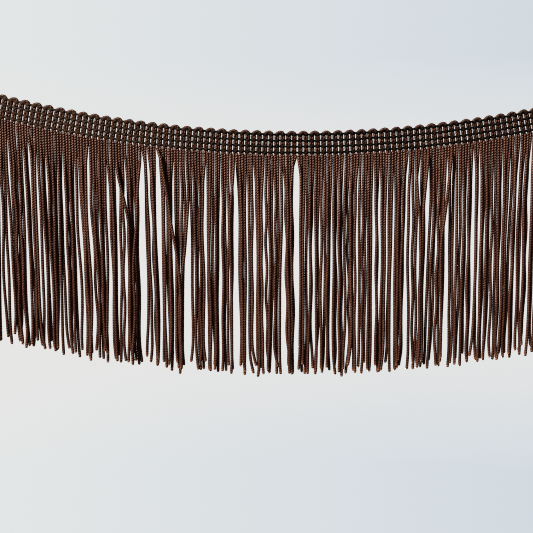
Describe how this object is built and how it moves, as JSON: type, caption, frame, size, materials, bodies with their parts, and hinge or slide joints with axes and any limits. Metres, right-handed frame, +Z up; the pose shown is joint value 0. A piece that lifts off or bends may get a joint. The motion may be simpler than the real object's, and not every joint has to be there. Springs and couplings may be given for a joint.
{
  "type": "cut fringe trim",
  "caption": "Length of cut fringe trim hanging in a shallow swag: twisted cords bound by thin chain threads into a corded heading with a scalloped top edge.",
  "frame": {"origin": "on the sewing face at the back of the heading, at the lowest point of the scalloped top edge", "axes": "+X along the trim, +Y towards the back, so that the front faces -Y, +Z up"},
  "size_m": [0.255, 0.0022, 0.1166],
  "materials": {
    "heading_cord": "twisted rayon cord with a low sheen, dark brown",
    "chain_thread": "fine matt binding thread, near black",
    "fringe_cord": "two-ply twisted rayon cord with a low sheen, red-brown, lighter at the cut ends"
  },
  "bodies": {
    "root": {"heading": "heading_cord", "chain_1": "chain_thread", "chain_2": "chain_thread", "chain_3": "chain_thread", "chain_4": "chain_thread", "fringe": "fringe_cord"}
  },
  "joints": []
}
